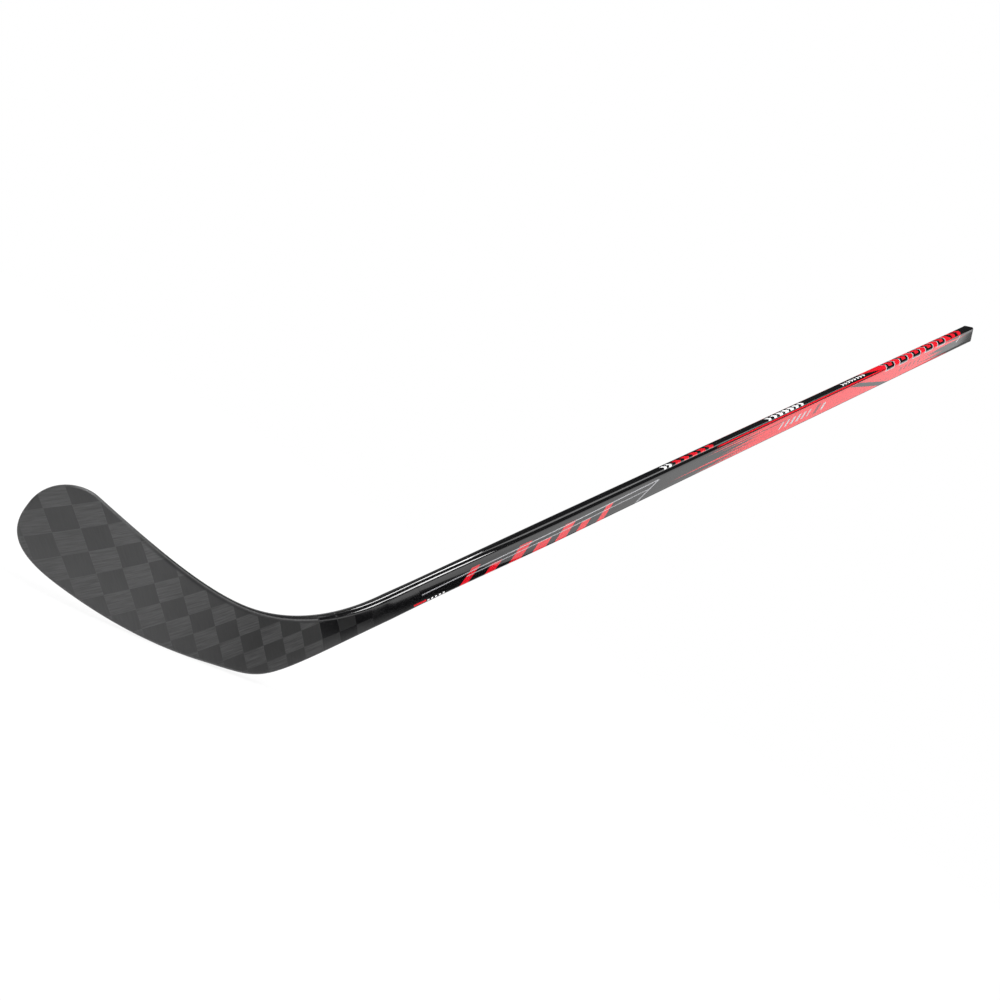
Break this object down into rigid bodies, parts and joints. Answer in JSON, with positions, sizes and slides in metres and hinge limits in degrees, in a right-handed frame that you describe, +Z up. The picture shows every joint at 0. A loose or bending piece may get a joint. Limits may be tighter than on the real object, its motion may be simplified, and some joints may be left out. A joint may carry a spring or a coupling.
{
  "type": "ice hockey stick",
  "caption": "Composite ice hockey stick: straight rounded-rectangle shaft tapering into a hosel and a curved, open-faced blade with a rockered sole and a rounded toe.",
  "frame": {"origin": "Centre of the bounding box in X and Y, on the plane that the sole of the blade touches (Z = 0).", "axes": "+Z is up in the playing pose. The shaft rises towards +X and leans 47 degrees from the floor, and the toe of the blade points along -X. The convex backhand face looks along -Y and the concave forehand face along +Y."},
  "size_m": [1.3278, 0.0666, 1.1464],
  "materials": {
    "shaft_tube": "gloss clear coat over black and red paint",
    "tenon_spigot": "bare carbon laminate",
    "shaft_foam_plug": "cut rigid foam",
    "butt_end_plug": "moulded matt",
    "hosel_shell": "gloss clear coat over carbon",
    "hosel_core": "cut rigid foam",
    "blade_skin_backhand": "satin coat over checked carbon weave",
    "blade_skin_forehand": "satin coat over checked carbon weave",
    "blade_core_lower": "cut rigid foam",
    "blade_core_upper": "cut rigid foam",
    "blade_bridge": "bare carbon laminate",
    "blade_core_toe": "cut rigid foam",
    "blade_edge_strip": "satin coat over carbon"
  },
  "bodies": {
    "root": {"shaft_tube": "shaft_tube", "tenon_spigot": "tenon_spigot", "shaft_foam_plug": "shaft_foam_plug", "butt_end_plug": "butt_end_plug", "hosel_shell": "hosel_shell", "hosel_core": "hosel_core", "blade_skin_backhand": "blade_skin_backhand", "blade_skin_forehand": "blade_skin_forehand", "blade_core_lower": "blade_core_lower", "blade_core_upper": "blade_core_upper", "blade_bridge": "blade_bridge", "blade_core_toe": "blade_core_toe", "blade_edge_strip": "blade_edge_strip"}
  },
  "joints": []
}
